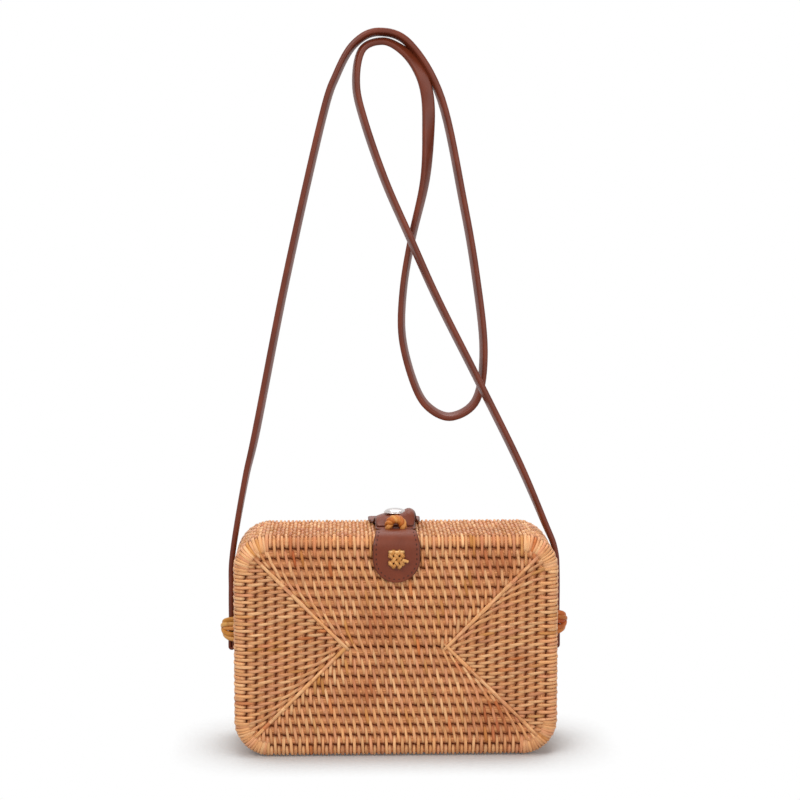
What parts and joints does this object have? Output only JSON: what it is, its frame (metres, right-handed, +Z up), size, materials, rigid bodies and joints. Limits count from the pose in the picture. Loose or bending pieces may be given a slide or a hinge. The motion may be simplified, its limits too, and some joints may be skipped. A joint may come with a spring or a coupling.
{
  "type": "crossbody bag",
  "caption": "Woven rattan box bag of hinged trays with a leather closing tab, press stud, plaited knots and a long leather shoulder strap.",
  "frame": {"origin": "middle of the base, on the plane the bag stands on", "axes": "+X to the right along the seam, +Y from the front tray to the back tray, +Z up; the front face looks along -Y"},
  "size_m": [0.2214, 0.0836, 0.4457],
  "materials": {
    "rattan": "satin woven vine",
    "rattan_knot": "satin split vine",
    "tab_leather": "smooth, slightly glossy",
    "strap_leather": "smooth, painted edges",
    "lining_cloth": "plain cotton",
    "snap_metal": "polished"
  },
  "bodies": {
    "back": {"back_shell": "rattan", "back_lining": "lining_cloth", "hinge_tie_left": "rattan_knot", "hinge_tie_right": "rattan_knot", "back_tab_anchor": "tab_leather", "back_knot_lower": "rattan_knot", "back_knot_upper": "rattan_knot", "strap_knot_left": "rattan_knot", "strap_knot_right": "rattan_knot", "strap_end_left": "strap_leather", "strap_end_right": "strap_leather", "shoulder_strap": "strap_leather"},
    "front": {"front_shell": "rattan", "front_lining": "lining_cloth", "front_tab": "tab_leather", "front_knot_lower": "rattan_knot", "front_knot_upper": "rattan_knot", "snap_stud": "snap_metal", "snap_post": "snap_metal"},
    "flap": {"back_tab_flap": "tab_leather", "snap_cap": "snap_metal", "snap_socket": "snap_metal"}
  },
  "joints": [
    {"name": "shell_open", "type": "hinge", "parent": "back", "child": "front", "pos_m": [0, 0, 0.004], "axis": [1, 0, 0], "range_deg": [0, 100]},
    {"name": "tab_lift", "type": "hinge", "parent": "back", "child": "flap", "pos_m": [0, 0.014, 0.1403], "axis": [-1, 0, 0], "range_deg": [0, 80]}
  ]
}
